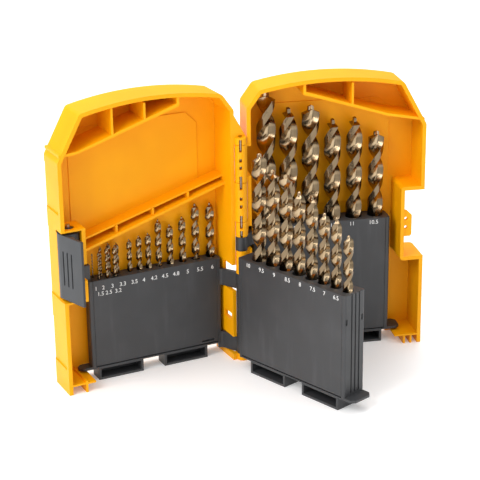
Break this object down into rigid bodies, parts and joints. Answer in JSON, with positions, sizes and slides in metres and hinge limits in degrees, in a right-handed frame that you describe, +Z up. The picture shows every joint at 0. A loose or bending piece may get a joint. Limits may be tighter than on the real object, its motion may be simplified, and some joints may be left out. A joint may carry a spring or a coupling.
{
  "type": "drill bit case",
  "caption": "Folding drill bit case on an upright hinge pin, with swing-out holders, twist bits in size order and a side latch.",
  "frame": {"origin": "hinge axis at the level of the surface the case stands on, on the bottom face of the left shell's lowest knuckle", "axes": "+X across the opened case from the latch shell towards the catch shell, +Y away from the person who looks into the open case, +Z up along the hinge pin"},
  "size_m": [0.2469, 0.138, 0.1924],
  "materials": {
    "shell_plastic": "satin, moulded yellow",
    "holder_plastic": "fine-grained black",
    "latch_plastic": "satin dark grey",
    "drill_steel": "ground, warm tempered tint",
    "pin_steel": "turned"
  },
  "bodies": {
    "left_shell": {"left_shell": "shell_plastic", "hinge_pin": "pin_steel", "latch_pin": "pin_steel"},
    "right_shell": {"right_shell": "shell_plastic"},
    "left_holder": {"left_holder": "holder_plastic", "left_label_plate": "holder_plastic", "drill_1_0": "drill_steel", "drill_1_5": "drill_steel", "drill_2_0": "drill_steel", "drill_2_5": "drill_steel", "drill_3_0": "drill_steel", "drill_3_2": "drill_steel", "drill_3_3": "drill_steel", "drill_3_5": "drill_steel", "drill_4_0": "drill_steel", "drill_4_2": "drill_steel", "drill_4_5": "drill_steel", "drill_4_8": "drill_steel", "drill_5_0": "drill_steel", "drill_5_5": "drill_steel", "drill_6_0": "drill_steel"},
    "middle_holder": {"middle_holder": "holder_plastic", "middle_label_plate": "holder_plastic", "middle_rear_plate": "holder_plastic"},
    "right_holder": {"right_holder": "holder_plastic", "right_label_plate": "holder_plastic", "drill_13_0": "drill_steel", "drill_12_5": "drill_steel", "drill_12_0": "drill_steel", "drill_11_5": "drill_steel", "drill_11_0": "drill_steel", "drill_10_5": "drill_steel"},
    "latch_lever": {"latch_lever": "latch_plastic"},
    "bit_10_0": {"drill_10_0": "drill_steel"},
    "bit_9_5": {"drill_9_5": "drill_steel"},
    "bit_9_0": {"drill_9_0": "drill_steel"},
    "bit_8_5": {"drill_8_5": "drill_steel"},
    "bit_8_0": {"drill_8_0": "drill_steel"},
    "bit_7_5": {"drill_7_5": "drill_steel"},
    "bit_7_0": {"drill_7_0": "drill_steel"},
    "bit_6_5": {"drill_6_5": "drill_steel"}
  },
  "joints": [
    {"name": "case_hinge", "type": "hinge", "parent": "left_shell", "child": "right_shell", "pos_m": [0, 0, 0], "axis": [0, 0, 1], "range_deg": [-164.5, 15]},
    {"name": "middle_page", "type": "hinge", "parent": "left_shell", "child": "middle_holder", "pos_m": [0, 0, 0], "axis": [0, 0, 1], "range_deg": [-107.4, 9.8]},
    {"name": "left_holder_swing", "type": "hinge", "parent": "left_shell", "child": "left_holder", "pos_m": [0, 0, 0], "axis": [0, 0, 1], "range_deg": [0, 90]},
    {"name": "right_holder_swing", "type": "hinge", "parent": "right_shell", "child": "right_holder", "pos_m": [0, 0, 0], "axis": [0, 0, -1], "range_deg": [0, 45]},
    {"name": "latch", "type": "hinge", "parent": "left_shell", "child": "latch_lever", "pos_m": [-0.10941, -0.0458, 0.0885], "axis": [0, 0, -1], "range_deg": [-9.5, 48]},
    {"name": "lift_10_0", "type": "slide", "parent": "middle_holder", "child": "bit_10_0", "axis": [0, 0, 1], "range_m": [0, 0.064]},
    {"name": "lift_9_5", "type": "slide", "parent": "middle_holder", "child": "bit_9_5", "axis": [0, 0, 1], "range_m": [0, 0.064]},
    {"name": "lift_9_0", "type": "slide", "parent": "middle_holder", "child": "bit_9_0", "axis": [0, 0, 1], "range_m": [0, 0.065]},
    {"name": "lift_8_5", "type": "slide", "parent": "middle_holder", "child": "bit_8_5", "axis": [0, 0, 1], "range_m": [0, 0.065]},
    {"name": "lift_8_0", "type": "slide", "parent": "middle_holder", "child": "bit_8_0", "axis": [0, 0, 1], "range_m": [0, 0.065]},
    {"name": "lift_7_5", "type": "slide", "parent": "middle_holder", "child": "bit_7_5", "axis": [0, 0, 1], "range_m": [0, 0.066]},
    {"name": "lift_7_0", "type": "slide", "parent": "middle_holder", "child": "bit_7_0", "axis": [0, 0, 1], "range_m": [0, 0.066]},
    {"name": "lift_6_5", "type": "slide", "parent": "middle_holder", "child": "bit_6_5", "axis": [0, 0, 1], "range_m": [0, 0.068]}
  ],
  "couplings": [
    {"joint": "middle_page", "follows": "case_hinge", "ratio": 0.65246}
  ]
}
